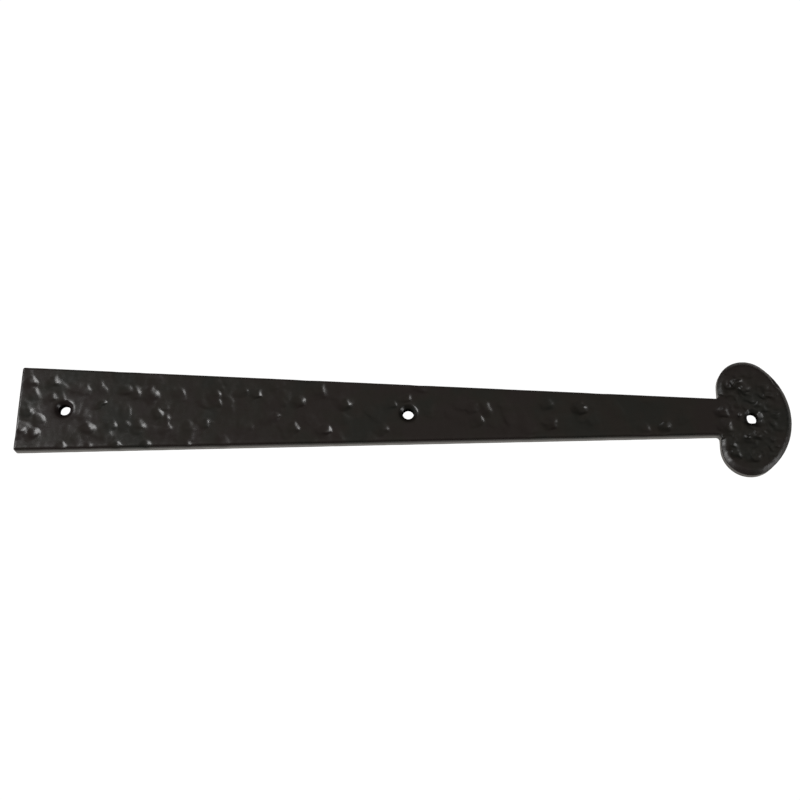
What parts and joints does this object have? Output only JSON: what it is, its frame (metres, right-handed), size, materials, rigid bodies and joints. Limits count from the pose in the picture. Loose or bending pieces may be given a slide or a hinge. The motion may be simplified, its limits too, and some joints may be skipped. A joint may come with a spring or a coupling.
{
  "type": "hinge front",
  "caption": "Flat tapered strap front for a door hinge, square at one end and bean-shaped at the other, in black hammered cast iron with countersunk screw holes.",
  "frame": {"origin": "middle of the bounding rectangle of the flat back, which lies on Z = 0", "axes": "+X along the strap from the square butt end to the bean, +Y across the strap, +Z out of the hammered front face"},
  "size_m": [0.305, 0.0474, 0.0046],
  "materials": {
    "black_iron": "satin black paint over hammered cast iron"
  },
  "bodies": {
    "root": {"hinge_front": "black_iron"}
  },
  "joints": []
}
